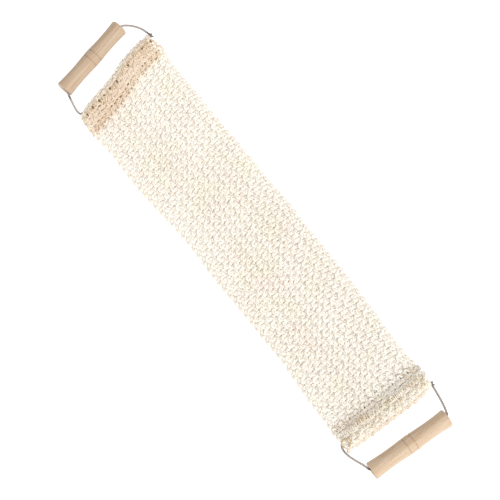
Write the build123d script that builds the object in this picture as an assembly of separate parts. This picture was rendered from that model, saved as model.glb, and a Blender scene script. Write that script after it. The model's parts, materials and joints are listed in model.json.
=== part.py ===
from build123d import *
import os
from math import cos, pi, radians, sin, tan

# A knitted sisal back strap that lies flat along X, with its underside at z = 0.
# Each end is folded back over a cord and lashed down, and that cord carries a
# turned wooden handle.  The origin is below the middle of the whole object.
# All sizes are in millimetres, and all angles are in degrees.

# Strap
knit_thickness = 7.0
left_width = 128.0
right_width = 119.0
strap_length = 533.0  # between the outer edges of the two folds, at mid width
strap_middle_x = 3.5  # puts the handles' outer sides at equal distances from the origin
left_fold_slant = 12.4  # how far each fold leans outwards at its +Y end
right_fold_slant = 2.0
panel_count = 8
bend_limit = 30.0  # how far each panel turns from the next, either way
bend_gap = 0.3  # between the blunt edges of two panels
bend_spare = 0.15  # extra bevel on each panel's edge

# Hems: the knit folded back on itself
hem_depth = 33.0
hem_thickness = 7.0

# Lashing: whip stitches over the hem's inner edge
stitch_width = 2.2
stitch_reach = 7.0
stitch_pitch = 11.0
stitch_count = 10

# Cords
cord_diameter = 2.5
tunnel_clearance = 0.8  # on the diameter, between cord and hem
knot_radius = 3.4

# Handles
handle_length = 105.0
handle_end_diameter = 21.2
handle_waist_diameter = 19.4
handle_centre_diameter = 20.8
handle_bead_diameter = 21.0
waist_distance = 28.0  # from the handle's middle to each waist
groove_spacing = 9.6
groove_width = 1.3
groove_depth = 0.8
end_rounding = 1.4
bore_clearance = 2.7  # on the diameter, between cord and handle
flare_diameter = 9.6
flare_depth = 2.4

mouth_gap = 1.2  # from the cord's turn at the lower mouth to the handle's end

# Worked out from the sizes above
left_fold_x = strap_middle_x - strap_length / 2
right_fold_x = strap_middle_x + strap_length / 2
hem_height = knit_thickness + hem_thickness
fold_radius = hem_height / 2
handle_radius = max(handle_end_diameter, handle_bead_diameter) / 2
panel_length = strap_length / panel_count

# Each cord's route: through the hem's tunnel, round to the handle's lower mouth,
# through the handle, and back from its upper mouth to the knot.  X is measured
# from the outer edge of the fold at mid width.
left_route = [
    (-9.5, 68.0, fold_radius),
    (20.3, -67.7, fold_radius),
    (13.8, -69.6, 7.1),
    (2.5, -68.6, 7.9),
    (-9.5, -65.6, 9.5),
    (-18.2, -62.1, handle_radius),
    (-44.1, 43.5, handle_radius),
    (-41.3, 50.6, 10.4),
    (-33.4, 59.0, 9.4),
    (-23.0, 65.2, 8.2),
    (-12.2, 67.8, 7.2),
]
left_mouth = 5  # the corner where the left cord turns into its handle
right_route = [
    (-2.6, 63.4, fold_radius),
    (-15.5, -63.8, fold_radius),
    (-10.4, -67.1, 6.6),
    (-1.3, -67.5, 6.6),
    (9.6, -64.8, 7.7),
    (20.6, -60.8, 9.6),
    (29.35, -57.3, handle_radius),
    (36.65, 49.8, handle_radius),
    (30.2, 54.0, 10.3),
    (20.4, 58.3, 9.2),
    (9.8, 61.4, 8.0),
    (-0.2, 63.2, 7.1),
]
right_mouth = 6  # the corner where the right cord turns into its handle
left_points = [Vector(left_fold_x + x, y, z) for x, y, z in left_route]
right_points = [Vector(right_fold_x + x, y, z) for x, y, z in right_route]


def half_width(x):
    """Half the strap's width at x, which tapers evenly from left to right."""
    share = (x - left_fold_x) / (right_fold_x - left_fold_x)
    return (left_width + (right_width - left_width) * share) / 2


def strap_outline(start_x, end_x):
    """A tall prism over the strap's tapering outline between two places."""
    corners = [
        (start_x, -half_width(start_x)),
        (end_x, -half_width(end_x)),
        (end_x, half_width(end_x)),
        (start_x, half_width(start_x)),
    ]
    outline = make_face(Polyline(*corners, close=True))
    return extrude(outline, amount=4 * hem_height)


def fold_plane(fold_x, slant, inward):
    """Upright plane across a fold: x is the distance inwards, y is up."""
    into_strap = (inward * cos(radians(slant)), sin(radians(slant)), 0)
    along_fold = (into_strap[1], -into_strap[0], 0)
    return Plane(origin=(fold_x, 0, 0), x_dir=into_strap, z_dir=along_fold)


left_fold = fold_plane(left_fold_x, left_fold_slant, 1)
right_fold = fold_plane(right_fold_x, right_fold_slant, -1)


def across_fold(fold, outline):
    """Run an outline drawn on a fold's plane along the whole fold."""
    return extrude(fold * make_face(outline), amount=left_width, both=True)


def tunnel(points):
    """The way that a cord takes through its hem, with its clearance."""
    middle = Plane(origin=(points[0] + points[1]) / 2, z_dir=points[1] - points[0])
    radius = (cord_diameter + tunnel_clearance) / 2
    return extrude(middle * Circle(radius), amount=left_width, both=True)


def bevelled_edge(bend_x, away):
    """Side outline, from top to bottom, of a panel's edge beside a bend.

    away is 1 if the panel lies on the +X side of the bend, or -1 on the other.
    """
    middle = knit_thickness / 2
    bevel = middle * tan(radians(bend_limit / 2)) + bend_spare
    tip = bend_x + away * bend_gap / 2
    return [
        (tip + away * bevel, 0, knit_thickness),
        (tip, 0, middle),
        (tip + away * bevel, 0, 0),
    ]


def slab(side, start_x, end_x):
    """The strap's outline between two places, with the given side outline."""
    full_width = extrude(make_face(Polyline(*side, close=True)), amount=left_width, both=True)
    return full_width & strap_outline(start_x, end_x)


def panel(number):
    """One length of the strap, with bevelled ends that let it bend both ways."""
    start_x = left_fold_x + (number - 1) * panel_length
    end_x = start_x + panel_length
    side = bevelled_edge(start_x, 1) + bevelled_edge(end_x, -1)[::-1]
    return slab(side, start_x, end_x)


def end_panel(number, fold, points):
    """The strap's last length, which runs on to the fold at the hem's slant."""
    away = -1 if number == 1 else 1
    bend_x = left_fold_x + panel_length * (1 if number == 1 else number - 1)
    outer = bend_x + away * 1.5 * panel_length
    side = bevelled_edge(bend_x, away) + [(outer, 0, 0), (outer, 0, knit_thickness)]
    beyond = [
        (-panel_length, 0),
        (fold_radius, 0),
        (fold_radius, knit_thickness),
        (-panel_length, knit_thickness),
    ]
    whole = slab(side, min(bend_x, outer), max(bend_x, outer))
    whole -= across_fold(fold, Polyline(*beyond, close=True))
    return whole - tunnel(points)


def hem(fold, points):
    """A half-round fold with its flap, which lies back on the strap."""
    outline = [
        ThreePointArc((fold_radius, 0), (0, fold_radius), (fold_radius, hem_height)),
        Line((fold_radius, hem_height), (hem_depth, hem_height)),
        Line((hem_depth, hem_height), (hem_depth, knit_thickness)),
        Line((hem_depth, knit_thickness), (fold_radius, knit_thickness)),
        Line((fold_radius, knit_thickness), (fold_radius, 0)),
    ]
    folded = across_fold(fold, outline)
    reach = left_fold_x - panel_length, right_fold_x + panel_length
    return (folded & strap_outline(*reach)) - tunnel(points)


def lashing(fold):
    """Evenly spaced whip stitches over the flap's inner edge."""
    hook = [
        (hem_depth, knit_thickness),
        (hem_depth + stitch_width, knit_thickness),
        (hem_depth + stitch_width, hem_height + stitch_width),
        (hem_depth - stitch_reach, hem_height + stitch_width),
        (hem_depth - stitch_reach, hem_height),
        (hem_depth, hem_height),
    ]
    face = make_face(Polyline(*hook, close=True))
    stitches = []
    for number in range(stitch_count):
        place = (number - (stitch_count - 1) / 2) * stitch_pitch
        stitches.append(extrude(fold.offset(place) * face, amount=stitch_width / 2, both=True))
    return Compound(children=[stitch.solid() for stitch in stitches])


def corner_radii(points):
    """The largest even arc for each corner of a route."""
    radii = []
    for before, corner, after in zip(points, points[1:], points[2:]):
        shorter = min((corner - before).length, (after - corner).length)
        turn = (corner - before).get_angle(after - corner)
        radii.append(0.45 * shorter / tan(radians(turn / 2)))
    return radii


def cord(name, points):
    """A round cord along its route, with its arcs and volume reported."""
    radii = corner_radii(points)
    path = FilletPolyline(*points, radius=radii)
    tube = sweep((path ^ 0) * Circle(cord_diameter / 2), path=path)
    expected = pi * cord_diameter**2 / 4 * path.length
    print(name, "arc radii", [round(radius, 1) for radius in radii])
    print(name, "length", round(path.length, 1), "volume", round(tube.volume, 1))
    print(name, "section times length", round(expected, 1))
    return tube


def knot(points):
    """The round lump where the cord's two ends are tied together."""
    return Pos((points[0] + points[-1]) / 2) * Sphere(knot_radius)


def handle(points, mouth):
    """A turned grip with two waists, two grooves and a flared bore along it."""
    end = handle_length / 2
    end_radius = handle_end_diameter / 2
    waist_radius = handle_waist_diameter / 2
    centre_radius = handle_centre_diameter / 2
    bead_radius = handle_bead_diameter / 2
    bore_radius = (cord_diameter + bore_clearance) / 2
    flare_radius = flare_diameter / 2
    groove = groove_spacing / 2
    lip = groove_width / 2
    sink = centre_radius - groove_depth
    outline = [Line((bore_radius, flare_depth - end), (bore_radius, end - flare_depth))]
    for side in (-1, 1):
        shoulder = side * (end - end_rounding)
        rounded = end_rounding * (1 - cos(pi / 4))
        outline += [
            Line((bore_radius, side * (end - flare_depth)), (flare_radius, side * end)),
            Line((flare_radius, side * end), (end_radius - end_rounding, side * end)),
            ThreePointArc(
                (end_radius - end_rounding, side * end),
                (end_radius - rounded, side * (end - rounded)),
                (end_radius, shoulder),
            ),
            ThreePointArc(
                (end_radius, shoulder),
                (waist_radius, side * waist_distance),
                (centre_radius, side * (groove + lip)),
            ),
            ThreePointArc(
                (centre_radius, side * (groove + lip)),
                (sink, side * groove),
                (centre_radius, side * (groove - lip)),
            ),
        ]
    outline.append(
        ThreePointArc((centre_radius, lip - groove), (bead_radius, 0), (centre_radius, groove - lip))
    )
    grip = revolve(Plane.XZ * make_face(outline), axis=Axis.Z)
    axis = (points[mouth + 1] - points[mouth]).normalized()
    middle = points[mouth] + axis * (mouth_gap + end)
    return Plane(origin=middle, z_dir=axis) * grip


parts = {
    "strap_panel_1": end_panel(1, left_fold, left_points),
    f"strap_panel_{panel_count}": end_panel(panel_count, right_fold, right_points),
    "left_hem": hem(left_fold, left_points),
    "right_hem": hem(right_fold, right_points),
    "left_lashing": lashing(left_fold),
    "right_lashing": lashing(right_fold),
    "left_cord": cord("left_cord", left_points),
    "right_cord": cord("right_cord", right_points),
    "left_knot": knot(left_points),
    "right_knot": knot(right_points),
    "left_handle": handle(left_points, left_mouth),
    "right_handle": handle(right_points, right_mouth),
}
for number in range(2, panel_count):
    parts[f"strap_panel_{number}"] = panel(number)

os.makedirs("parts", exist_ok=True)
for node, shape in parts.items():
    export_step(shape, f"parts/{node}.step")
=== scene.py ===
import json
import logging
from dataclasses import dataclass, field
from enum import Enum
from math import cos, pi, radians, sin

import bpy
import numpy as np
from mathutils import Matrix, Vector


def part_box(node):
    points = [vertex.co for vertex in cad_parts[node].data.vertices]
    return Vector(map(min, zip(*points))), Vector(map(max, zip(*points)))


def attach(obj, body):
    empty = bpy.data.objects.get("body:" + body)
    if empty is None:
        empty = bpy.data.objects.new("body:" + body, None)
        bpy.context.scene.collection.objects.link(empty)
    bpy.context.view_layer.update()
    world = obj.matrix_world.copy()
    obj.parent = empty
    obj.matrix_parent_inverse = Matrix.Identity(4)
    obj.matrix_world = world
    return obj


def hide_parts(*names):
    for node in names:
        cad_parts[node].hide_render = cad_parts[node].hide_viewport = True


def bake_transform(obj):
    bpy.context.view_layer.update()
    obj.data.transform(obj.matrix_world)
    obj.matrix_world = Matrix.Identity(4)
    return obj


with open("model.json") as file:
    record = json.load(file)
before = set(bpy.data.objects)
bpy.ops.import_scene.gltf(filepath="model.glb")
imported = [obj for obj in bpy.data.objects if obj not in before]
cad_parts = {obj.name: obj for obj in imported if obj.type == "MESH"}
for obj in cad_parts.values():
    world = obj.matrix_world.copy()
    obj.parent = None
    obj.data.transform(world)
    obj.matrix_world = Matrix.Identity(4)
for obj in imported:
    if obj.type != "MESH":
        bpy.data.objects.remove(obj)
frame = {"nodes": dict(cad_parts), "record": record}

# A knitted sisal back strap: garter-knit yarn, lashed hems, twisted cords and turned handles.
# The strap lies along X.  Sizes are in millimetres until a mesh is built, and then in metres.

Tree, Socket = bpy.types.NodeTree, bpy.types.NodeSocket
Array, Random, Pair = np.ndarray, np.random.Generator, tuple[float, float]

MM = 0.001
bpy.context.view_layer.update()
LOG = logging.getLogger("back_strap")


# ---------------------------------------------------------------- colours and nodes


def linear(hex_colour: str) -> tuple[float, float, float, float]:
    """Turn an sRGB hex colour into linear light.

    Args:
        hex_colour: Six hex digits, such as "F4ECD9".

    Returns:
        Red, green, blue and alpha, each from 0 to 1.
    """
    parts = [int(hex_colour[i : i + 2], 16) / 255 for i in (0, 2, 4)]
    light = [p / 12.92 if p <= 0.04045 else ((p + 0.055) / 1.055) ** 2.4 for p in parts]
    return (*light, 1.0)


def add_node(tree: Tree, kind: str, inputs: dict | None = None, **settings) -> bpy.types.Node:
    """Add a node, set its properties, and fill or link its inputs.

    Args:
        tree: The node tree that takes the node.
        kind: The node's type, such as "ShaderNodeMix".
        inputs: Input name or number to a value, or to the socket that feeds it.
        settings: Properties of the node itself.

    Returns:
        The new node.
    """
    node = tree.nodes.new(kind)
    for name, value in settings.items():
        setattr(node, name, value)
    for name, value in (inputs or {}).items():
        if isinstance(value, Socket):
            tree.links.new(value, node.inputs[name])
        else:
            node.inputs[name].default_value = value
    return node


MIX_A, MIX_B, MIX_COLOUR_OUT = 6, 7, 2  # a colour Mix node's own sockets


def mix_colour(tree: Tree, share, first, second) -> Socket:
    """Mix two colours, or colour sockets, by a share from 0 to 1."""
    inputs = {0: share, MIX_A: first, MIX_B: second}
    node = add_node(tree, "ShaderNodeMix", inputs, data_type="RGBA")
    return node.outputs[MIX_COLOUR_OUT]


def ramp(tree: Tree, value, low: float, high: float) -> Socket:
    """Stretch the part of a value between low and high to the range 0 to 1."""
    limits = {"Value": value, "From Min": low, "From Max": high}
    return add_node(tree, "ShaderNodeMapRange", limits).outputs["Result"]


def noise(tree: Tree, place, scale: float, detail: float, **more) -> Socket:
    """Add a noise pattern.

    Args:
        tree: The node tree that takes it.
        place: The socket that says where a point is.
        scale: Repeats per unit of that place.
        detail: Levels of finer pattern.
        more: Further inputs, by name.

    Returns:
        The pattern's value, from 0 to 1.
    """
    inputs = {"Vector": place, "Scale": scale, "Detail": detail, **more}
    return add_node(tree, "ShaderNodeTexNoise", inputs).outputs["Fac"]


def new_material(name: str) -> tuple[bpy.types.Material, Tree]:
    """Make an empty material of the given name, and return it with its node tree."""
    material = bpy.data.materials.new(name)
    material.use_nodes = True
    return material, material.node_tree


def put_in_scene(name: str, data: bpy.types.ID) -> bpy.types.Object:
    """Make an object of a mesh, curve, camera or light, and put it in the scene."""
    thing = bpy.data.objects.new(name, data)
    bpy.context.scene.collection.objects.link(thing)
    return thing


def finish_surface(tree: Tree, colour, bump: dict, constants: dict) -> None:
    """Feed the shader its colour and its bump, and set its constants.

    Args:
        tree: The material's node tree.
        colour: The socket that feeds the base colour.
        bump: The bump node's inputs.
        constants: The shader's own socket names, to their values.
    """
    shader = tree.nodes["Principled BSDF"]
    normal = add_node(tree, "ShaderNodeBump", bump).outputs["Normal"]
    tree.links.new(colour, shader.inputs["Base Color"])
    tree.links.new(normal, shader.inputs["Normal"])
    for name, value in constants.items():
        shader.inputs[name].default_value = value


@dataclass(frozen=True)
class YarnFinish:
    """Hard-spun plant-fibre yarn: matt, with streaks of fibre that follow the ply."""

    name: str
    pale: str
    mid: str
    tan: str
    # reached where tan runs from 1 to 2: a real stain on some yarns, painted shade on others
    stain_and_shade: str
    straw: str = "F5F1DC"  # where the fibre kept more of its sap
    blush: str = "F8EDE3"
    roughness: float = 0.82
    fibre_width_mm: float = 0.35  # sisal fibre is about 0.2 mm, drawn coarser so that it shows
    fibre_length_mm: float = 7.0
    patch_mm: float = 30.0
    blush_mm: float = 45.0
    girth_mm: float = 8.0
    fibre_range: Pair = (0.35, 0.62)  # from the darkest fibre to the palest
    straw_range: Pair = (0.5, 0.9)
    blush_range: Pair = (0.52, 0.85)
    bump_strength: float = 0.55
    bump_mm: float = 0.25
    sheen: float = 0.12  # the fine hairs catch a little light at the yarn's edges

    def material(self) -> bpy.types.Material:
        """Build the material.  It reads the yarn's own UV map and its tan attribute."""
        material, tree = new_material(self.name)
        uv = add_node(tree, "ShaderNodeUVMap", uv_map="yarn").outputs["UV"]
        along = (1 / self.fibre_length_mm, self.girth_mm / self.fibre_width_mm / 2, 1.0)
        fibre_place = add_node(tree, "ShaderNodeMapping", {"Vector": uv, "Scale": along})
        fibre = noise(tree, fibre_place.outputs["Vector"], 1.0, 3.0, Roughness=0.6)
        place = add_node(tree, "ShaderNodeTexCoord").outputs["Object"]
        patch = noise(tree, place, 1 / (self.patch_mm * MM), 2.0)
        warmth = add_node(tree, "ShaderNodeAttribute", attribute_name="tan").outputs["Fac"]
        fibre_share = ramp(tree, fibre, *self.fibre_range)
        streaks = mix_colour(tree, fibre_share, linear(self.mid), linear(self.pale))
        blush = noise(tree, place, 1 / (self.blush_mm * MM), 1.0)
        straw_share = ramp(tree, patch, *self.straw_range)
        strawed = mix_colour(tree, straw_share, streaks, linear(self.straw))
        blush_share = ramp(tree, blush, *self.blush_range)
        patched = mix_colour(tree, blush_share, strawed, linear(self.blush))
        warm = mix_colour(tree, ramp(tree, warmth, 0.0, 1.0), patched, linear(self.tan))
        # tan from 1 to 2 moves on to the stain colour: painted shade on the left lashing's hole
        # stitches and at the cord's handle mouths, stain elsewhere
        stained_and_shaded = mix_colour(tree, ramp(tree, warmth, 1.0, 2.0), warm, linear(self.stain_and_shade))
        bump = {"Strength": self.bump_strength, "Distance": self.bump_mm * MM, "Height": fibre}
        constants = {
            "Roughness": self.roughness,
            "IOR": 1.5,
            "Specular IOR Level": 0.3,
            "Sheen Weight": self.sheen,
            "Sheen Roughness": 0.6,
        }
        finish_surface(tree, stained_and_shaded, bump, constants)
        return material


@dataclass(frozen=True)
class TurnedBeech:
    """Sanded, unvarnished beech, turned on a lathe: long pale grain with short brown ray flecks."""

    name: str
    pale: str
    grain: str
    fleck: str
    lean_degrees: float  # how far the handle's length leans off Y
    roughness: float = 0.5
    grain_width_mm: float = 1.6
    grain_length_mm: float = 45.0
    fleck_width_mm: float = 0.45
    fleck_length_mm: float = 2.6
    grain_range: Pair = (0.38, 0.68)
    fleck_range: Pair = (0.66, 0.76)
    bump_strength: float = 0.25
    bump_mm: float = 0.15

    def material(self) -> bpy.types.Material:
        """Build the material.  Its grain runs along the handle."""
        material, tree = new_material(self.name)
        place = add_node(tree, "ShaderNodeTexCoord").outputs["Object"]
        turn = (0.0, 0.0, radians(self.lean_degrees))
        turned = add_node(tree, "ShaderNodeMapping", {"Vector": place, "Rotation": turn})

        def streaks(width: float, length: float, detail: float) -> Socket:
            """Noise drawn out along the handle, from a width and a length in millimetres."""
            scale = (1 / (width * MM), 1 / (length * MM), 1 / (width * MM))
            inputs = {"Vector": turned.outputs["Vector"], "Scale": scale}
            drawn = add_node(tree, "ShaderNodeMapping", inputs)
            return noise(tree, drawn.outputs["Vector"], 1.0, detail)

        grain = streaks(self.grain_width_mm, self.grain_length_mm, 4.0)
        fleck = streaks(self.fleck_width_mm, self.fleck_length_mm, 1.0)
        grain_share = ramp(tree, grain, *self.grain_range)
        grained = mix_colour(tree, grain_share, linear(self.pale), linear(self.grain))
        fleck_share = ramp(tree, fleck, *self.fleck_range)
        flecked = mix_colour(tree, fleck_share, grained, linear(self.fleck))
        bump = {"Strength": self.bump_strength, "Distance": self.bump_mm * MM, "Height": grain}
        constants = {"Roughness": self.roughness, "IOR": 1.5, "Specular IOR Level": 0.35}
        finish_surface(tree, flecked, bump, constants)
        return material


# Sisal leaf fibre, bleached, spun hard in two plies and knitted: matt and off-white, with fine
# streaks along the ply.
STRAP_SISAL = YarnFinish("bleached_sisal_yarn", "FCF7EE", "F4EDE1", "DCC7AF", "80603C")
# Sisal sewing yarn, spun and left unbleached: tan and matt. Its stain colour is painted shade, for
# the dark holes where a stitch goes down.
LEFT_LASHING = YarnFinish(
    "natural_sisal_lashing_yarn", "F1E2C8", "DCC6A4", "CDB088", "7A5A36", "EADDBB", "EAD2BC"
)
# Sisal sewing yarn, bleached before spinning: nearly as pale as the strap, and as matt.
RIGHT_LASHING = YarnFinish("pale_sisal_lashing_yarn", "FCF6EA", "F5EAD8", "E0C8A2", "8A6A46")
# Jute cord, three strands twisted together: dull grey-brown, darker where it is cut, with painted
# shade where it goes into a handle's mouth.
TWISTED_JUTE = YarnFinish(
    "twisted_jute_cord", "CBC0B9", "AA9D97", "8C7F79", "3A2D26", "BDB1A7", "B8A8A0"
)
# Beech, turned and sanded with no varnish: a soft sheen over long grain and short brown flecks.
# The two handles are cut from different wood, and the left one is the darker.
LEFT_BEECH = TurnedBeech("sanded_beech_left", "BEA992", "B19578", "96734F", -13.8)
RIGHT_BEECH = TurnedBeech("sanded_beech_right", "CFB9A1", "C2A585", "A37B5A", 3.9)


# ---------------------------------------------------------------- yarn meshes


@dataclass
class YarnMesh:
    """Gathers tubes of yarn, and turns them into one mesh with a UV map and a tan attribute."""

    points: list = field(default_factory=list)
    quads: list = field(default_factory=list)
    triangles: list = field(default_factory=list)
    quad_uvs: list = field(default_factory=list)
    triangle_uvs: list = field(default_factory=list)
    tans: list = field(default_factory=list)
    count: int = 0

    def add_tube(self, rings: Array, along: Array, warmth: Array) -> None:
        """Add one closed tube.

        Args:
            rings: Ring points in millimetres, as ring, corner, axis.
            along: Each ring's distance along the yarn, in millimetres.
            warmth: Each ring's share of tan.
        """
        number, sides, _ = rings.shape
        ring, side = np.meshgrid(np.arange(number - 1), np.arange(sides), indexing="ij")
        after = (side + 1) % sides
        this_ring, next_ring = ring * sides, (ring + 1) * sides
        corners = [this_ring + side, this_ring + after, next_ring + after, next_ring + side]
        quads = np.stack(corners, -1).reshape(-1, 4)
        low, high = along[ring], along[ring + 1]
        near, far = side / sides, (side + 1) / sides
        uvs = np.stack([low, near, low, far, high, far, high, near], -1).reshape(-1, 4, 2)
        sides_now = np.arange(sides)
        sides_next = (sides_now + 1) % sides
        start, end = number * sides, number * sides + 1
        last = (number - 1) * sides
        caps = np.concatenate(
            [
                np.stack([np.full(sides, start), sides_next, sides_now], -1),
                np.stack([np.full(sides, end), last + sides_now, last + sides_next], -1),
            ]
        )
        cap_uvs = np.zeros((2 * sides, 3, 2))
        cap_uvs[:sides, :, 0] = along[0]
        cap_uvs[sides:, :, 0] = along[-1]
        self.points += [rings.reshape(-1, 3), rings[0].mean(0)[None], rings[-1].mean(0)[None]]
        self.quads.append(quads + self.count)
        self.triangles.append(caps + self.count)
        self.quad_uvs.append(uvs)
        self.triangle_uvs.append(cap_uvs)
        self.tans += [np.repeat(warmth, sides), warmth[:1], warmth[-1:]]
        self.count += number * sides + 2

    def add_line(self, line: Array, radius, section: Array, ply_length: float, warmth) -> None:
        """Spin one centreline into a closed tube, and add it.

        Args:
            line: The centreline's points, in millimetres.
            radius: The yarn's radius, for the whole line or at each point.
            section: The section's share of that radius at each corner.
            ply_length: Millimetres of yarn for one full turn of the ply.
            warmth: The share of tan, for the whole line or at each point.
        """
        radii = np.broadcast_to(radius, (1, len(line)))
        rings, along = spin_rings(line[None], radii, section, ply_length)
        self.add_tube(rings[0], along[0], np.broadcast_to(warmth, len(line)))

    def build(self, name: str) -> bpy.types.Object:
        """Make the mesh object, in metres, with smooth faces."""
        points = np.concatenate(self.points) * MM
        quads = np.concatenate(self.quads)
        triangles = np.concatenate(self.triangles)
        mesh = bpy.data.meshes.new(name)
        mesh.vertices.add(len(points))
        mesh.vertices.foreach_set("co", points.ravel().astype(np.float32))
        corners = np.concatenate([quads.ravel(), triangles.ravel()]).astype(np.int32)
        mesh.loops.add(len(corners))
        mesh.loops.foreach_set("vertex_index", corners)
        quad_starts = np.arange(len(quads)) * 4
        starts = np.concatenate([quad_starts, len(quads) * 4 + np.arange(len(triangles)) * 3])
        mesh.polygons.add(len(starts))
        mesh.polygons.foreach_set("loop_start", starts.astype(np.int32))
        mesh.polygons.foreach_set("use_smooth", np.ones(len(starts), bool))
        mesh.update(calc_edges=True)
        both = (self.quad_uvs, self.triangle_uvs)
        uvs = np.concatenate([np.concatenate(part).reshape(-1, 2) for part in both])
        mesh.uv_layers.new(name="yarn").uv.foreach_set("vector", uvs.ravel().astype(np.float32))
        tan_share = mesh.attributes.new("tan", "FLOAT", "POINT")
        tan_share.data.foreach_set("value", np.concatenate(self.tans).astype(np.float32))
        piece = put_in_scene(name, mesh)
        LOG.info("%s: %d faces", name, len(starts))
        return piece


def ply_section(sides: int, plies: int = 2, groove: float = 0.3) -> Array:
    """Radius of a spun yarn's section at each corner, as a share, with a groove between plies."""
    angle = 2 * pi * np.arange(sides) / sides
    return 1 - groove * np.abs(np.cos(angle * plies / 2)) ** 3


def spin_rings(
    lines: Array, radius: Array, section: Array, ply_length: float
) -> tuple[Array, Array]:
    """Put rings round many centrelines at once, turned with the twist of the ply.

    Args:
        lines: Centrelines in millimetres, as line, point, axis.
        radius: The yarn's radius at each point.
        section: The section's share of that radius at each corner.
        ply_length: Millimetres of yarn for one full turn of the ply.

    Returns:
        The ring points, as line, point, corner, axis, and the distance along each line.
    """
    steps = np.diff(lines, axis=1)
    travelled = np.cumsum(np.linalg.norm(steps, axis=2), axis=1)
    along = np.concatenate([np.zeros((len(lines), 1)), travelled], axis=1)
    heading = np.gradient(lines, axis=1)
    heading /= np.linalg.norm(heading, axis=2, keepdims=True)
    normal = np.empty_like(lines)
    start = np.cross(heading[:, 0], np.array([0.13, 0.21, 0.97]))  # a direction no yarn starts in
    normal[:, 0] = start / np.linalg.norm(start, axis=1, keepdims=True)
    for i in range(1, lines.shape[1]):
        before = normal[:, i - 1]
        now = before - (before * heading[:, i]).sum(1, keepdims=True) * heading[:, i]
        normal[:, i] = now / np.linalg.norm(now, axis=1, keepdims=True)
    across = np.cross(heading, normal)
    angle = 2 * pi * (np.arange(len(section)) / len(section) + along[..., None] / ply_length)
    reach = radius[..., None] * section
    rings = lines[:, :, None] + (reach * np.cos(angle))[..., None] * normal[:, :, None]
    rings += (reach * np.sin(angle))[..., None] * across[:, :, None]
    return rings, along


def smoothstep(value: Array) -> Array:
    """Ease a value from 0 to 1."""
    share = np.clip(value, 0, 1)
    return share * share * (3 - 2 * share)


def ease(value: Array, start: float, run: float) -> Array:
    """Rise from 0 at a start to 1 a run further on, or further back where the run is negative."""
    return smoothstep((value - start) / run)


def bump_at(value: Array, height: float, middle: float, reach: float) -> Array:
    """A round bump of a height, about a middle, that fades over a reach."""
    return height * np.exp(-(((value - middle) / reach) ** 2))


def wave(value: Array, height: float, length: float, phase: float = 0.0) -> Array:
    """A sine of a height, whose length is given for one radian."""
    return height * np.sin(value / length + phase)


def smooth_line(corners: Array, spacing: float) -> Array:
    """Run a smooth line through corner points, with points a set distance apart.

    Args:
        corners: The points to run through, in millimetres.
        spacing: The distance between the points of the result.

    Returns:
        The line's points.
    """
    padded = np.vstack([2 * corners[0] - corners[1], corners, 2 * corners[-1] - corners[-2]])
    t = np.linspace(0, 1, 12, endpoint=False)[:, None]
    runs = []
    for a, b, c, d in zip(padded, padded[1:], padded[2:], padded[3:]):
        bend = 2 * a - 5 * b + 4 * c - d
        runs.append(0.5 * (2 * b + (c - a) * t + bend * t**2 + (3 * b - 3 * c + d - a) * t**3))
    return even_spacing(np.vstack([*runs, corners[-1:]]), spacing)


def even_spacing(line: Array, spacing: float) -> Array:
    """Move a line's points to an even distance apart."""
    along = np.concatenate([[0], np.cumsum(np.linalg.norm(np.diff(line, axis=0), axis=1))])
    places = np.linspace(0, along[-1], max(4, int(along[-1] / spacing) + 1))
    return np.stack([np.interp(places, along, line[:, axis]) for axis in range(3)], 1)


# ---------------------------------------------------------------- the strap


class End(Enum):
    """The strap's two ends.  The value is the direction from the strap to the handle."""

    LEFT = -1
    RIGHT = 1


def joint_place(name: str) -> Vector:
    """A joint's place, in millimetres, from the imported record."""
    joints = frame["record"]["behaviour"]["joints"]
    return Vector(next(j["pos_m"] for j in joints if j["name"] == name)) / MM


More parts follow.
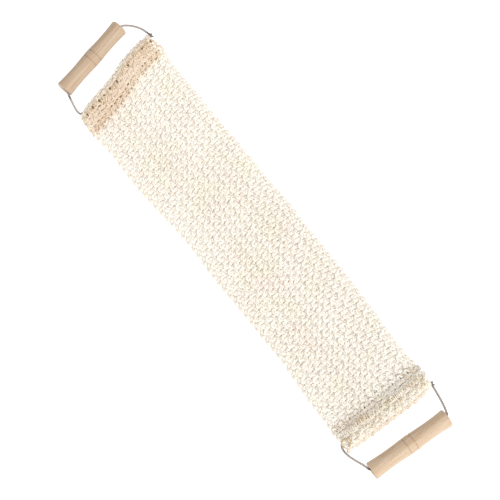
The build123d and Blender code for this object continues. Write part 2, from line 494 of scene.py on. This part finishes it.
@dataclass
class Cloth:
    """Where the knit lies: flat along X, folded back on itself over the cord at each end."""

    fold_reach: float = 6.8  # from the fold's outer edge to the middle of its curve
    fold_radius: float = 4.5
    resting_height: float = 3.8  # the knit's middle above the floor
    flap_press: float = 3.0  # how far the lashing pulls the flap's inner edge down
    flap_run: float = 23.0
    edge_press: float = 3.2  # how much further it pulls the last stitch down
    edge_run: float = 9.0
    edge_overhang: float = 1.9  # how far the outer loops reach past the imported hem
    side_bow: float = 3.6  # how far the strap's middle lies to one side of its ends
    bow_start: Pair = (-140.0, 80.0)  # where it begins, and over what length
    bow_end: Pair = (115.0, 90.0)
    side_shift: float = 0.2
    right_shift: float = 0.9
    right_shift_start: Pair = (150.0, 80.0)
    upper_slant: Pair = (-0.20, 0.45)  # at the left fold, and its change to the right
    lower_slant: Pair = (-0.22, 0.16)
    slant_width: float = 152.0  # the width over which one slant turns into the other
    slip_reach: float = 6.2  # how far the rows have slipped along each other
    slip_middle: float = 4.0
    slip_width: float = 17.0
    slip_balance: float = 0.23
    left_corner_pull: float = 4.5
    right_slant: float = 0.035
    right_pull: float = 1.9
    right_corner_pull: Pair = (4.6, 0.06)  # at mid width, and its change with Y
    left_recess: float = 3.2  # how far the upper corner is drawn in
    left_recess_start: Pair = (-234.0, -18.0)
    right_recess: float = 2.4
    right_recess_start: Pair = (252.0, 12.0)
    recess_width: float = 40.0
    surface_waver: float = 0.35
    left_fold_x: float = field(init=False)
    right_fold_x: float = field(init=False)
    left_half_width: float = field(init=False)
    right_half_width: float = field(init=False)
    nominal_half_width: float = 61.2

    def __post_init__(self) -> None:
        """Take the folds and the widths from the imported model."""
        first, last = joint_place("strap_bend_1").x, joint_place("strap_bend_7").x
        length = (last - first) / 6
        self.left_fold_x = first - length
        self.right_fold_x = last + length
        self.left_half_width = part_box("left_hem")[1].y / MM + self.edge_overhang
        self.right_half_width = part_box("right_hem")[1].y / MM + self.edge_overhang

    @property
    def quarter(self) -> float:
        """The length of a quarter of the fold's curve."""
        return pi / 2 * self.fold_radius

    @property
    def path_length(self) -> float:
        """The knit's length from the outermost point of one fold to that of the other."""
        return self.right_fold_x - self.left_fold_x - 2 * self.fold_reach + 2 * self.quarter

    def round_fold(self, run: Array, rise: Array) -> tuple[Array, Array]:
        """Follow the knit round a fold.

        Args:
            run: The distance from the fold's outermost point, below zero on the flap.
            rise: The distance from the knit's middle towards its face.

        Returns:
            The distance inwards from the fold's outer edge, and the height.
        """
        angle = np.clip(run / self.fold_radius, -pi / 2, pi / 2)
        beyond = np.abs(run) - self.quarter
        arm = self.fold_radius - rise
        inwards = self.fold_reach - arm * np.cos(angle) + np.clip(beyond, 0, None)
        centre = self.resting_height + self.fold_radius
        flap = -run - self.quarter
        pressed = self.flap_press * ease(flap, 0, self.flap_run)
        edge = smoothstep((flap - self.flap_run + self.edge_run) / self.edge_run)
        pressed += self.edge_press * edge
        return inwards, centre - arm * np.sin(angle) - pressed

    def sideways(self, x: Array) -> Array:
        """How far the strap's middle line bows to one side at a place along it."""
        bow = ease(x, *self.bow_start) * (1 - ease(x, *self.bow_end))
        right = ease(x, *self.right_shift_start)
        return self.side_bow * bow - self.side_shift - self.right_shift * right

    def lean(self, share: Array, y: Array) -> Array:
        """How far the knit is pulled along X off square, as a hand-pulled strap is.

        Args:
            share: The place along the strap, from 0 at the left fold to 1 at the right.
            y: The place across the strap.

        Returns:
            The shift along X.
        """
        upper = self.upper_slant[0] + self.upper_slant[1] * share
        lower = self.lower_slant[0] + self.lower_slant[1] * share
        slip = 0.55 + 0.45 * ease(share, 0, 0.15) - 0.3 * ease(share, 0.6, 0.25)
        pulled = (upper + lower) / 2 * y + (upper - lower) / self.slant_width * y**2
        slipped = np.tanh((y - self.slip_middle) / self.slip_width) + self.slip_balance
        pulled -= self.slip_reach * slip * slipped
        left_corner = self.left_corner_pull * (np.abs(y) / self.left_half_width) ** 8
        pulled += left_corner * (1 - ease(share, 0, 0.08))
        hem = ease(share, 0.86, 0.14)
        pull, growth = self.right_corner_pull
        right_corner = (np.abs(y) / self.right_half_width) ** 6
        square = self.right_slant * y + self.right_pull - (pull + growth * y) * right_corner
        return pulled * (1 - hem) + square * hem

    def half_width(self, share: Array, flat: Array, across: Array) -> Array:
        """Half the knit's width, drawn in at the upper corners and wider where the lashing pulls.

        Args:
            share: The place along the strap, from 0 at the left fold to 1 at the right.
            flat: The same place as a distance along X.
            across: The place across the strap, at the nominal width.

        Returns:
            The half width.
        """
        upper = ease(across, 0, self.recess_width)
        width = self.left_half_width + (self.right_half_width - self.left_half_width) * share
        width = width - self.left_recess * ease(flat, *self.left_recess_start) * upper
        width = width - self.right_recess * ease(flat, *self.right_recess_start) * upper
        width = width + bump_at(flat, height=2.4, middle=-228, reach=20)
        return width + bump_at(flat, height=1.2, middle=238, reach=14)

    def place(self, run: Array, across: Array, rise: Array) -> Array:
        """Put points of the knit in space.

        Args:
            run: The distance along the knit from the left fold's outermost point.
            across: The distance across the knit from its middle, at the nominal width.
            rise: The distance from the knit's middle towards its face.

        Returns:
            The points, in millimetres.
        """
        middle = self.path_length / 2
        left_in, left_z = self.round_fold(run, rise)
        right_in, right_z = self.round_fold(self.path_length - run, rise)
        on_left = run < middle
        flat = np.where(on_left, self.left_fold_x + left_in, self.right_fold_x - right_in)
        z = np.where(on_left, left_z, right_z)
        span = self.right_fold_x - self.left_fold_x
        share = np.clip((flat - self.left_fold_x) / span, 0, 1)
        nominal = self.nominal_half_width
        even = across - np.sin(pi * across / nominal)
        y = even * self.half_width(share, flat, across) / nominal + self.sideways(flat)
        ripple = wave(flat, height=0.5, length=31.0)
        ripple = ripple + wave(flat, height=0.35, length=13.7, phase=1.0)
        y += ripple * across / nominal
        x = flat + self.lean(share, y)
        along = wave(flat, height=self.surface_waver, length=41.0, phase=0.6)
        z = z + self.surface_waver + along * wave(y, height=1.0, length=27.0, phase=0.4)
        return np.stack([x, y, z], -1)


@dataclass
class GarterKnit:
    """Rows of sisal yarn knitted along the strap, front ridge and back ridge in turn."""

    cloth: Cloth
    rows: int = 22
    stitches: int = 52  # between the outermost points of the two folds
    flap_stitches: float = 3.0
    rings_per_stitch: int = 26
    sides: int = 10
    yarn_radius: float = 2.1
    row_spacing: float = 5.2
    loop_height: float = 5.1
    loop_spread: float = 2.3  # widens each loop's head past its neck, so that the rows interlock
    depth: float = 1.4
    ply_length: float = 12.0
    hem_stitches: float = 3.6  # from each fold's outermost point
    hem_fade: float = 1.4
    hem_slack: float = 0.6  # how much more uneven the stitches are in a hem
    hem_flattening: float = 0.42  # pulled flat by the fold and its lashing
    floor_gap: float = 0.1
    fibres_per_stitch: float = 1.6
    fibre_radius: float = 0.09
    fibre_tan: float = 0.25
    edge_tan: float = 0.22
    seed: int = 7

    def __post_init__(self) -> None:
        """Draw the random unevenness of each stitch, and spin every row."""
        self.random = np.random.default_rng(self.seed)
        number = int((self.stitches + 2 * self.flap_stitches) * self.rings_per_stitch) + 1
        self.turns = np.linspace(-self.flap_stitches, self.stitches + self.flap_stitches, number)
        self.pitch = self.cloth.path_length / self.stitches
        lines = np.stack([self.row_line(row) for row in range(self.rows)])
        wander = self.random.normal(0, 1, (self.rows, number))
        soften = np.hanning(31) / 6
        thickness = np.apply_along_axis(lambda row: np.convolve(row, soften, "same"), 1, wander)
        radius = self.yarn_radius * (1 + np.clip(0.07 * thickness, -0.16, 0.2))
        self.lines = lines
        self.section = ply_section(self.sides)
        self.rings, self.along = spin_rings(lines, radius, self.section, self.ply_length)
        self.warmth = self.tan_share(lines)

    def unevenness(self, size: float) -> Array:
        """A smooth random value along a row, which changes from stitch to stitch."""
        knots = self.random.normal(0, size, int(self.stitches + 2 * self.flap_stitches) + 4)
        place = self.turns + self.flap_stitches + 1
        before = np.floor(place).astype(int)
        share = smoothstep(place - before)
        return knots[before] * (1 - share) + knots[before + 1] * share

    def in_hem(self) -> Array:
        """How much each point along a row belongs to a hem, from 0 to 1."""
        left = ease(self.turns, self.hem_stitches, -self.hem_fade)
        right = ease(self.turns, self.stitches - self.hem_stitches, self.hem_fade)
        return np.maximum(left, right)

    def row_line(self, row: int) -> Array:
        """The centreline of one row."""
        angle = 2 * pi * self.turns
        face = 1 if row % 2 == 0 else -1
        loose = 1 + self.hem_slack * self.in_hem()
        along = self.turns * self.pitch + self.loop_spread * np.sin(2 * angle)
        along = along + self.unevenness(0.3) * loose
        middle = (row - (self.rows - 1) / 2) * self.row_spacing
        height = self.loop_height * (1 + self.unevenness(0.03) * loose)
        across = middle - height * np.cos(angle) - 0.1 * np.cos(3 * angle)
        across = across + self.unevenness(0.15) * loose
        # a slow wander that neighbouring rows share
        across = across + 0.6 * np.sin(along / 37.0 + middle / 29.0) * np.cos(along / 53.0)
        rise = -face * (self.depth * np.cos(angle) + 0.05 * np.cos(3 * angle))
        rise = rise * (1 + self.unevenness(0.07)) + self.unevenness(0.12) * loose
        rise *= 1 - self.hem_flattening * self.in_hem()
        line = self.cloth.place(along, across, rise)
        line[:, 2] = np.maximum(line[:, 2], self.yarn_radius + self.floor_gap)
        return line

    def tan_share(self, lines: Array) -> Array:
        """How tan the yarn is: pale in the strap, tanner in the hems, and patchy."""
        hem = self.in_hem()
        x, y = lines[..., 0], lines[..., 1]
        patches = 0.5 + wave(x, 0.5, 23.0, 1.3) * np.sin(y / 19.0 + x / 37.0)
        streak = self.random.normal(0, 0.05, (self.rows, 1))
        from_fold = np.minimum(np.abs(self.turns), np.abs(self.turns - self.stitches))
        inside = ease(from_fold, 0.2, 0.7)  # the left fold's edge is paler, the right one's tanner
        left = hem * (0.2 + 0.8 * inside) * (0.55 + 0.4 * patches)
        right = hem * (0.5 - 0.46 * inside + 0.12 * patches)
        in_hems = np.where(self.turns < self.stitches / 2, left, right)
        return np.clip(0.04 + 0.1 * patches + streak + in_hems, 0, 1)

    def cut_turns(self) -> list[float]:
        """Where the rows are cut into pieces, counted in stitches: the middle of each panel."""
        bends = [joint_place(f"strap_bend_{number}").x for number in range(1, 8)]
        middles = [(a + b) / 2 for a, b in zip(bends, bends[1:])]
        cloth, flap = self.cloth, self.flap_stitches
        inner = [
            (x - cloth.left_fold_x - cloth.fold_reach + cloth.quarter) / self.pitch for x in middles
        ]
        return [-flap, flap, *inner, self.stitches - flap, self.stitches + flap]

    def piece(self, name: str, start: float, end: float) -> YarnMesh:
        """Gather the stretch of every row between two cuts, with the fibres that stand off it."""
        yarn = YarnMesh()
        first = int(round((start + self.flap_stitches) * self.rings_per_stitch))
        last = int(round((end + self.flap_stitches) * self.rings_per_stitch))
        for row in range(self.rows):
            stretch = slice(first, last + 1)
            along, warmth = self.along[row, stretch], self.warmth[row, stretch]
            yarn.add_tube(self.rings[row, stretch], along, warmth)
        for side in (-1, 1):
            self.add_edge_chain(yarn, side, start, end)
        self.add_fibres(yarn, first, last)
        return yarn

    def add_edge_chain(self, yarn: YarnMesh, side: int, start: float, end: float) -> None:
        """The yarn that closes the outer loops along one long edge, between two cuts."""
        number = int(round((end - start) * self.rings_per_stitch)) + 1
        turns = np.linspace(start, end, number)
        angle = 2 * pi * turns
        face = 1 if side < 0 else -1
        edge = side * ((self.rows - 1) / 2 * self.row_spacing + self.loop_height - 2.4)
        across = edge - side * 1.1 * np.cos(angle if side > 0 else angle + pi)
        rise = face * 1.5 * np.sin(angle + 0.4) * np.cos(angle)
        line = self.cloth.place(turns * self.pitch + 0.5 * np.sin(angle), across, rise)
        yarn.add_line(line, self.yarn_radius * 0.92, self.section, self.ply_length, self.edge_tan)

    def add_fibres(self, yarn: YarnMesh, first: int, last: int) -> None:
        """Add loose fibres: thin tapering hairs that leave the yarn at a low angle and curl."""
        number = int((last - first) / self.rings_per_stitch * self.rows * self.fibres_per_stitch)
        rows = self.random.integers(0, self.rows, number)
        at = self.random.integers(first + 1, last - 1, number)
        corner = self.random.integers(0, self.sides, number)
        root = self.rings[rows, at, corner]
        outwards = root - self.lines[rows, at]
        outwards /= np.linalg.norm(outwards, axis=1, keepdims=True)
        ahead = self.lines[rows, at + 1] - self.lines[rows, at - 1]
        ahead /= np.linalg.norm(ahead, axis=1, keepdims=True)
        ahead *= self.random.choice([-1, 1], (number, 1))
        length = self.random.uniform(2.0, 7.0, (number, 1, 1))
        curl = self.random.normal(0, 0.35, (number, 1, 3))
        t = np.linspace(0, 1, 5)[None, :, None]
        leaving = 0.45 * t * outwards[:, None] + 0.75 * t * ahead[:, None] + curl * t**2
        lines = root[:, None] + length * leaving
        lines[..., 2] = np.maximum(lines[..., 2], 0.15)
        radius = self.fibre_radius * (1 - 0.75 * t[..., 0]) * np.ones((number, 1))
        rings, along = spin_rings(lines, radius, np.ones(3), 50.0)
        for hair in range(number):
            yarn.add_tube(rings[hair], along[hair], np.full(t.size, self.fibre_tan))

    def row_turns(self, yarn: YarnMesh, end: End) -> None:
        """Join the rows in pairs where the yarn turns back, at one flap's inner edge."""
        at = 0 if end is End.LEFT else -1
        first = 1 if end is End.LEFT else 0
        warmth = 0.65 if end is End.LEFT else 0.1
        t = np.linspace(0, 1, 18)
        for row in range(first, self.rows - 1, 2):
            a, b = self.lines[row, at], self.lines[row + 1, at]
            inwards = 3.6 + self.random.uniform(-0.8, 0.8)
            line = a + (b - a) * smoothstep(t)[:, None]
            line[:, 0] -= end.value * inwards * np.sin(pi * t)
            line[:, 2] += self.random.uniform(-1.0, -0.2) * np.sin(pi * t)
            yarn.add_line(line, self.yarn_radius, self.section, self.ply_length, warmth)


INNER_LENGTHS = ["strap_middle" if n == 4 else f"strap_length_{n}" for n in range(2, 8)]


@dataclass
class Strap:
    """The knitted strap, cut into pieces: one at each end, and one across each hinge."""

    knit: GarterKnit
    bend_reach: float = 22.0  # how far from a hinge the knit starts to bend

    def build(self) -> None:
        """Build every piece, and tie each end piece to its body."""
        material = STRAP_SISAL.material()
        cuts = self.knit.cut_turns()
        for number, (start, end) in enumerate(zip(cuts, cuts[1:])):
            if number == 0:
                self.end_piece(End.LEFT, start, end, material)
            elif number == len(cuts) - 2:
                self.end_piece(End.RIGHT, start, end, material)
            else:
                self.bending_piece(number, start, end, material)

    def end_piece(self, end: End, start: float, stop: float, material) -> None:
        """One end of the strap, with its folded hem."""
        side = end.name.lower()
        yarn = self.knit.piece(side, start, stop)
        self.knit.row_turns(yarn, end)
        piece = yarn.build(f"strap_knit_{side}_end")
        piece.data.materials.append(material)
        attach(piece, f"strap_{side}_end")
        panel = 1 if end is End.LEFT else 8
        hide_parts(f"strap_panel_{panel}", f"{side}_hem")

    def bending_piece(self, number: int, start: float, stop: float, material) -> None:
        """The knit between the middles of two panels, across the hinge between them."""
        piece = self.knit.piece(str(number), start, stop).build(f"strap_knit_{number}")
        piece.data.materials.append(material)
        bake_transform(piece)
        if number < len(INNER_LENGTHS) + 1:
            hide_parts(f"strap_panel_{number + 1}")


# ---------------------------------------------------------------- the lashing


SEWN_SECTION = ply_section(10)
SEWN_PLY_LENGTH = 8.0
# One whip stitch: how far in from the flap's edge, across, and up.
WHIP_STITCH = (
    (1.5, 0.0, 4.5),
    (-0.5, 1.6, 8.6),
    (-4.5, 3.4, 10.9),
    (-6.5, 4.6, 9.0),
    (-3.0, 6.6, 4.5),
)


@dataclass
class Lashing:
    """The yarn that sews one hem down: whip stitches over the flap's edge, with slack curls."""

    end: End
    cloth: Cloth
    yarn_radius: float = 0.85
    flap_reach: float = 32.5  # from the fold's outer edge to the flap's inner edge
    pitch: float = 9.6
    side_margin: float = 4.0
    top: float = 15.9  # the height of the yarn that lies on the flap
    near_pass: float = 12.0  # from the fold's outer edge
    far_pass: float = 20.5
    dark_pass: float = 13.0
    dark_radius: float = 0.95
    hole_shade_tan: float = 2.0  # fully the stain colour: painted shade for the dark holes where the stitches go down
    curl_radius: float = 4.9
    curl_yarn_radius: float = 0.8
    curl_tan: float = 1.35
    seed: int = 11

    def in_space(self, inwards: float, across: float, height: float) -> Array:
        """A place on the hem, from its distance inwards from the fold, across, and up."""
        fold_x = self.cloth.left_fold_x if self.end is End.LEFT else self.cloth.right_fold_x
        share = 0.0 if self.end is End.LEFT else 1.0
        lean = float(self.cloth.lean(np.array(share), np.array(across)))
        return np.array([fold_x - self.end.value * inwards + lean, across, height])

    def build(self) -> None:
        """Build the two passes of lashing yarn on this hem."""
        side = self.end.name.lower()
        random = np.random.default_rng(self.seed + self.end.value)
        yarn = YarnMesh()
        on_left = self.end is End.LEFT
        half = self.cloth.left_half_width if on_left else self.cloth.right_half_width
        half -= self.side_margin
        self.add_pass(yarn, self.whip_stitches(random, half), random)
        self.add_pass(yarn, self.running_stitches(random, half, self.near_pass), random)
        if on_left:
            self.add_hole_shade_stitches(yarn, random, half)
        else:
            self.add_pass(yarn, self.running_stitches(random, half - 6, self.far_pass), random)
            self.add_corner_curl(yarn, -half)
        piece = yarn.build(f"{side}_lashing_yarn")
        piece.data.materials.append((LEFT_LASHING if on_left else RIGHT_LASHING).material())
        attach(piece, f"strap_{side}_end")
        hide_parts(f"{side}_lashing")

    def add_pass(self, yarn: YarnMesh, corners: Array, random: Random) -> None:
        """Add one pass of yarn through the given places."""
        line = smooth_line(corners, 1.1)
        step = np.arange(len(line))
        radius = self.yarn_radius * (1 + wave(step, height=0.08, length=5.0))
        warmth = 0.35 + wave(step, height=0.3, length=17.0) + random.normal(0, 0.05)
        yarn.add_line(line, radius, SEWN_SECTION, SEWN_PLY_LENGTH, np.clip(warmth, 0, 1))

    def whip_stitches(self, random: Random, half: float) -> Array:
        """Over the flap's inner edge, down through the strap, and back up in the flap."""
        corners = []
        across = -half
        while across < half:
            jog = random.uniform(-1.0, 1.0, len(WHIP_STITCH))
            for (inwards, step, height), shift in zip(WHIP_STITCH, jog):
                place = (self.flap_reach + inwards + shift, across + step, height)
                corners.append(self.in_space(*place))
            across += self.pitch + random.uniform(-1.0, 1.0)
        return np.array(corners)

    def add_hole_shade_stitches(self, yarn: YarnMesh, random: Random, half: float) -> None:
        """Short stitches in the stain colour where the sewing yarn goes down through the flap:
        painted shade for the dark holes there.
        """
        across = half - 3
        while across > -half:
            inwards = self.dark_pass + random.uniform(-3.0, 2.0)
            turn = random.uniform(-0.9, 0.9)
            corners = [
                self.in_space(inwards - 1.7, across + turn, 13.2),
                self.in_space(inwards - 0.6, across + 0.4 * turn, self.top),
                self.in_space(inwards + 0.6, across - 0.4 * turn, self.top),
                self.in_space(inwards + 1.7, across - turn, 13.0),
            ]
            line = smooth_line(np.array(corners), 0.5)
            yarn.add_line(line, self.dark_radius, SEWN_SECTION, SEWN_PLY_LENGTH, self.hole_shade_tan)
            across -= random.uniform(8.0, 14.0)

    def add_corner_curl(self, yarn: YarnMesh, across: float) -> None:
        """One round curl of yarn on top of the hem's corner."""
        t = np.linspace(0, 1.93 * pi, 60)
        middle = self.in_space(10.7, across - 2.1, 16.0)
        height = 0.5 * np.sin(2 * t) - 0.22 * t
        line = np.stack([self.curl_radius * np.cos(t), self.curl_radius * np.sin(t), height], -1)
        line = line + middle
        yarn.add_line(line, self.curl_yarn_radius, SEWN_SECTION, SEWN_PLY_LENGTH, self.curl_tan)

    def running_stitches(
        self, random: Random, half: float, inside: float
    ) -> Array:
        """A wandering pass near the fold, in small curls, a set distance inside the fold's edge."""
        corners = []
        across = half
        while across > -half:
            middle = inside + random.uniform(-2.0, 2.0)
            swing = random.uniform(1.8, 3.2)
            top = self.top - 0.07 * (inside - self.near_pass) + random.uniform(-0.3, 0.3)
            corners += [
                self.in_space(middle - swing, across, 12.5),
                self.in_space(middle - 0.6 * swing, across - 1.6, top),
                self.in_space(middle + 0.7 * swing, across - 1.2, top + 0.3),
                self.in_space(middle + swing, across - 3.4, 12.0),
                self.in_space(middle - 0.3 * swing, across - 4.6, top - 1.0),
            ]
            across -= 0.62 * self.pitch + random.uniform(-0.8, 0.8)
        return np.array(corners)


# ---------------------------------------------------------------- cords, knots and handles


@dataclass
class Bail:
    """One cord loop: through the hem's fold, round to the handle, through it, and to its knot."""

    end: End
    route: list  # from the fold's outer edge at mid width, in metres
    length: float
    mouths: Pair
    diameter: float = 0.0025
    strand_offset: float = 0.55  # as a share of the cord's radius
    strand_radius: float = 0.62
    lay_length: float = 8.0  # millimetres of cord for one full turn of its strands
    strand_ply_length: float = 5.0
    knot_size: float = 0.52
    tail_share: float = 0.75  # a tail's radius, as a share of the knot's
    knot_tan: float = 1.35

    def build(self, cloth: Cloth, material: bpy.types.Material) -> None:
        side = self.end.name.lower()
        fold_x = cloth.left_fold_x if self.end is End.LEFT else cloth.right_fold_x
        places = [Vector((fold_x * MM + x, y, z)) for x, y, z in self.route]
        centreline = self.read_spline(places) / MM
        line = even_spacing(centreline, 0.7)
        cord = self.strands(line).build(f"{side}_twisted_cord")
        cord.data.materials.append(material)
        knot = self.knot((places[0] + places[-1]) / 2 / MM).build(f"{side}_cord_knot")
        knot.data.materials.append(material)
        for piece, node in ((cord, f"{side}_cord"), (knot, f"{side}_knot")):
            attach(piece, f"{side}_bail")
            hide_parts(node)

    def read_spline(self, places: list) -> Array:
        """Read the points of the route's own smooth spline."""
        curve = bpy.data.curves.new("route", "CURVE")
        curve.dimensions = "3D"
        spline = curve.splines.new("NURBS")
        spline.points.add(len(places) - 1)
        for point, place in zip(spline.points, places):
            point.co = (*place, 1.0)
        spline.order_u = 3
        spline.use_endpoint_u = True
        spline.resolution_u = 24
        holder = put_in_scene("route", curve)
        mesh = bpy.data.meshes.new_from_object(holder)
        points = np.array([vertex.co for vertex in mesh.vertices])
        bpy.data.meshes.remove(mesh)
        bpy.data.objects.remove(holder)
        bpy.data.curves.remove(curve)
        return points

    def strands(self, line: Array) -> YarnMesh:
        """Lay three strands round the centreline, with painted shade where they go into the
        handle's mouths.
        """
        radius = self.diameter / MM / 2
        offset = np.full((1, len(line)), radius * self.strand_offset)
        rings, along = spin_rings(line[None], offset, np.ones(3), self.lay_length)
        warmth = 0.2 + 0.15 * np.sin(along[0] / 9.0)
        total = along[0, -1]
        # painted shade: the strands darken where the cord goes into each handle's mouth
        for mouth in self.mouths:
            warmth = warmth + 1.5 * np.exp(-(((along[0] / total - mouth) * total / 3.0) ** 2))
        cut_ends = 1.2 * np.exp(-(along[0] / 5.0) ** 2)
        warmth += cut_ends + 1.2 * np.exp(-((along[0] - total) / 5.0) ** 2)
        yarn, width = YarnMesh(), radius * self.strand_radius
        for strand in range(3):
            yarn.add_line(rings[0, :, strand], width, np.ones(7), self.strand_ply_length, warmth)
        return yarn

    def knot(self, centre: Vector) -> YarnMesh:
        """A tight overhand knot with two short tails."""
        t = np.linspace(0, 2 * pi, 90)
        x, z = np.sin(t) + 2 * np.sin(2 * t), np.cos(t) - 2 * np.cos(2 * t)
        loop = np.stack([x, np.sin(3 * t) * 1.1, z], -1) * self.knot_size + np.array(centre)
        long_tail = [[0, 0, 0], [1.1, 0.5, 0.9], [2.5, 1.1, 1.0], [3.8, 1.8, 0.4]]
        short_tail = [[0, 0, 0], [-0.5, 0.8, 1.1], [-0.3, 1.8, 1.3], [0.3, 2.6, 0.9]]
        radius = self.diameter / MM / 2
        parts = [(loop, radius)]
        for tail in (long_tail, short_tail):
            line = smooth_line(np.array(tail) + np.array(centre), 0.5)
            parts.append((line, radius * self.tail_share))
        yarn = YarnMesh()
        for line, width in parts:
            yarn.add_line(line, width, ply_section(8), self.strand_ply_length, self.knot_tan)
        return yarn


FOLD_Z = 0.0070
GRIP_Z = 0.0106
LEFT_ROUTE = [
    (-0.0112, 0.0655, FOLD_Z),
    (0.0165, -0.0520, FOLD_Z),
    (0.0196, -0.0632, FOLD_Z),
    (0.0140, -0.0652, 0.0074),
    (0.0045, -0.0638, 0.0083),
    (-0.0080, -0.0611, 0.0097),
    (-0.0175, -0.0594, GRIP_Z),
    (-0.0211, -0.0504, GRIP_Z),
    (-0.0412, 0.0318, GRIP_Z),
    (-0.0441, 0.0435, GRIP_Z),
    (-0.0405, 0.0496, 0.0104),
    (-0.0325, 0.0578, 0.0094),
    (-0.0229, 0.0633, 0.0084),
    (-0.0140, 0.0653, 0.0076),
]
RIGHT_ROUTE = [
    (-0.0032, 0.0596, 0.0074),
    (-0.0140, -0.0490, FOLD_Z),
    (-0.0152, -0.0628, FOLD_Z),
    (-0.0098, -0.0662, 0.0068),
    (-0.0013, -0.0661, 0.0068),
    (0.0092, -0.0629, 0.0078),
    (0.0198, -0.0584, 0.0096),
    (0.0284, -0.0566, GRIP_Z),
    (0.0302, -0.0453, GRIP_Z),
    (0.0358, 0.0378, GRIP_Z),
    (0.03665, 0.0498, GRIP_Z),
    (0.0288, 0.0533, 0.0103),
    (0.0196, 0.0559, 0.0092),
    (0.0098, 0.0578, 0.0084),
    (0.0006, 0.0592, 0.0082),
    (-0.0042, 0.0600, 0.0082),
]


@dataclass
class Handles:
    """The two turned handles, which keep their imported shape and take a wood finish."""

    def build(self) -> None:
        """Give each handle its beech."""
        for side, finish in (("left", LEFT_BEECH), ("right", RIGHT_BEECH)):
            for slot in frame["nodes"][f"{side}_handle"].material_slots:
                slot.material = finish.material()
            LOG.info("%s_handle: %s", side, finish.name)


# ---------------------------------------------------------------- studio


@dataclass
class Studio:
    """A white floor, soft all-round light, a key light over the right handle, and the camera."""

    distance: float = 1.15144
    elevation: float = 76.655
    azimuth: float = 51.93
    aim: tuple = (0.0148, -0.0050, 0.0)
    lens: float = 70.0
    floor_drop: float = 0.5
    floor_size: float = 40.0
    floor_glow: float = 0.97
    surroundings: float = 1.33
    key_power: float = 1.0
    key_spread_degrees: float = 50.0
    key_from: tuple = (1.1, 0.1, 1.35)

    def build(self) -> None:
        """Set the stage."""
        self.camera()
        self.floor()
        self.lights()

    def camera(self) -> None:
        """Look down on the strap, leaning back from straight down."""
        data = bpy.data.cameras.new("camera")
        data.lens = self.lens
        data.sensor_width = 36.0
        data.clip_start = 0.01
        camera = put_in_scene("camera", data)
        up, turn = radians(self.elevation), radians(self.azimuth)
        back = Vector((cos(up) * sin(turn), -cos(up) * cos(turn), sin(up)))
        camera.location = Vector(self.aim) + back * self.distance
        camera.rotation_euler = (-back).to_track_quat("-Z", "Y").to_euler()
        bpy.context.scene.camera = camera

    def floor(self) -> None:
        """A large sheet of cast opal acrylic, lit from below: even and white, with no shine.

        It lies under the lowest place that the bending strap reaches.
        """
        bpy.ops.object.select_all(action="DESELECT")
        bpy.ops.mesh.primitive_plane_add(size=self.floor_size, location=(0, 0, -self.floor_drop))
        floor = bpy.context.object
        floor.name = "studio_floor"
        bpy.ops.object.transform_apply(location=True)
        material, tree = new_material("lit_opal_acrylic")
        shader = tree.nodes["Principled BSDF"]
        shader.inputs["Base Color"].default_value = linear("7F7F7F")
        shader.inputs["Roughness"].default_value = 0.9
        shader.inputs["Specular IOR Level"].default_value = 0.0
        shader.inputs["Emission Color"].default_value = linear("FFFFFF")
        shader.inputs["Emission Strength"].default_value = self.floor_glow
        floor.data.materials.append(material)

    def lights(self) -> None:
        """Even white surroundings, and one large key light low over the right end."""
        world = bpy.data.worlds.new("white_surroundings")
        world.use_nodes = True
        tree = world.node_tree
        background = tree.nodes["Background"]
        direction = add_node(tree, "ShaderNodeTexCoord").outputs["Generated"]
        sideways = add_node(tree, "ShaderNodeSeparateXYZ", {"Vector": direction}).outputs["X"]
        share = ramp(tree, sideways, -0.9, 0.6)
        glow = mix_colour(tree, share, linear("9C9C9C"), linear("FFFFFF"))
        tree.links.new(glow, background.inputs["Color"])
        background.inputs["Strength"].default_value = self.surroundings
        bpy.context.scene.world = world
        data = bpy.data.lights.new("key", "SUN")
        data.energy = self.key_power
        data.angle = radians(self.key_spread_degrees)
        key = put_in_scene("key", data)
        key.location = self.key_from
        key.rotation_euler = (-key.location).to_track_quat("-Z", "Y").to_euler()
        bpy.context.scene.view_settings.view_transform = "Standard"


def main() -> None:
    """Build the studio, the cords, the strap, the lashings and the handles."""
    logging.basicConfig(level=logging.INFO, format="%(message)s")
    Studio().build()
    cloth = Cloth()
    jute = TWISTED_JUTE.material()
    Bail(End.LEFT, LEFT_ROUTE, 0.328, (0.505, 0.83)).build(cloth, jute)
    Bail(End.RIGHT, RIGHT_ROUTE, 0.320, (0.53, 0.87)).build(cloth, jute)
    Strap(GarterKnit(cloth)).build()
    for end in End:
        Lashing(end, cloth).build()
    Handles().build()


if __name__ == "__main__":
    main()
